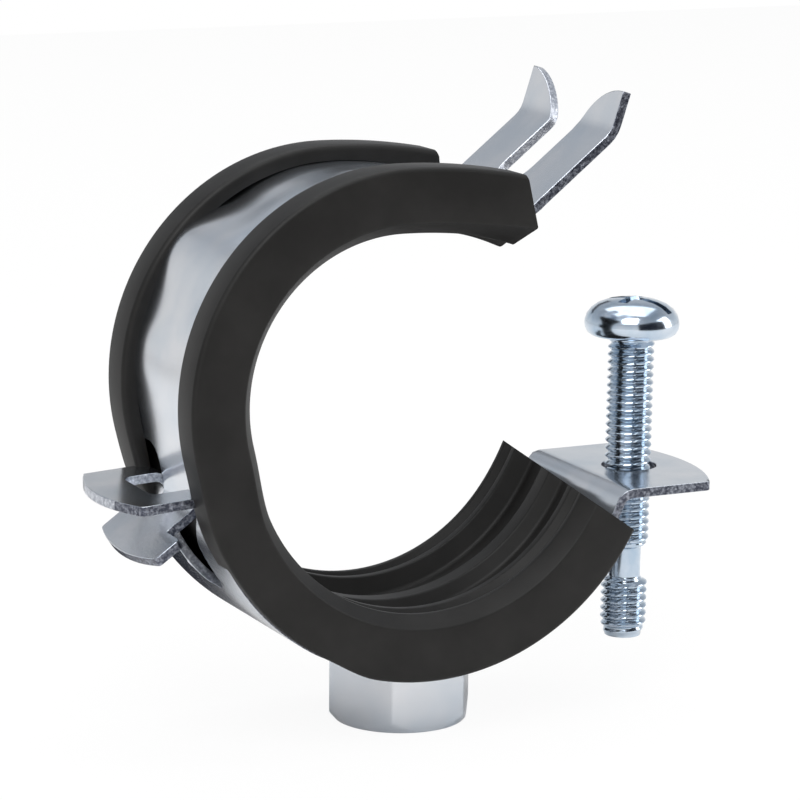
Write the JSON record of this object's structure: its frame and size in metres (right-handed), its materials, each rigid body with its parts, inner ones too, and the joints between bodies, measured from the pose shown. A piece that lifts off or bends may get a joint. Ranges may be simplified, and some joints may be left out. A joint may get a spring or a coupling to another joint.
{
  "type": "rubber lined pipe clamp",
  "caption": "Two-part sheet metal pipe clamp with a ribbed rubber liner, hooked hinge, forked quick-closing end, clamping screw and threaded connection nut.",
  "frame": {"origin": "on the axis of the pipe seat in the lower half, in the middle of the clamp's width", "axes": "+Y along the pipe, +X towards the clamping screw, +Z away from the connection nut"},
  "size_m": [0.0802, 0.0276, 0.0791],
  "materials": {
    "zinc_plated_sheet": "bright zinc plated pressed steel",
    "zinc_plated_nut": "bright zinc plated turned steel",
    "zinc_plated_screw": "bluish zinc plated rolled steel",
    "liner_rubber": "matt black extruded rubber"
  },
  "bodies": {
    "lower_half": {"lower_band": "zinc_plated_sheet", "connection_nut": "zinc_plated_nut", "lower_liner": "liner_rubber"},
    "upper_half": {"upper_band": "zinc_plated_sheet", "upper_liner": "liner_rubber"},
    "screw": {"clamp_screw": "zinc_plated_screw"}
  },
  "joints": [
    {"name": "upper_swing", "type": "hinge", "parent": "lower_half", "child": "upper_half", "pos_m": [-0.0289, 0, -0.007], "axis": [0, 1, 0], "range_deg": [-25, 18]},
    {"name": "screw_travel", "type": "slide", "parent": "lower_half", "child": "screw", "axis": [0, 0, 1], "range_m": [-0.016, 0.002]}
  ]
}
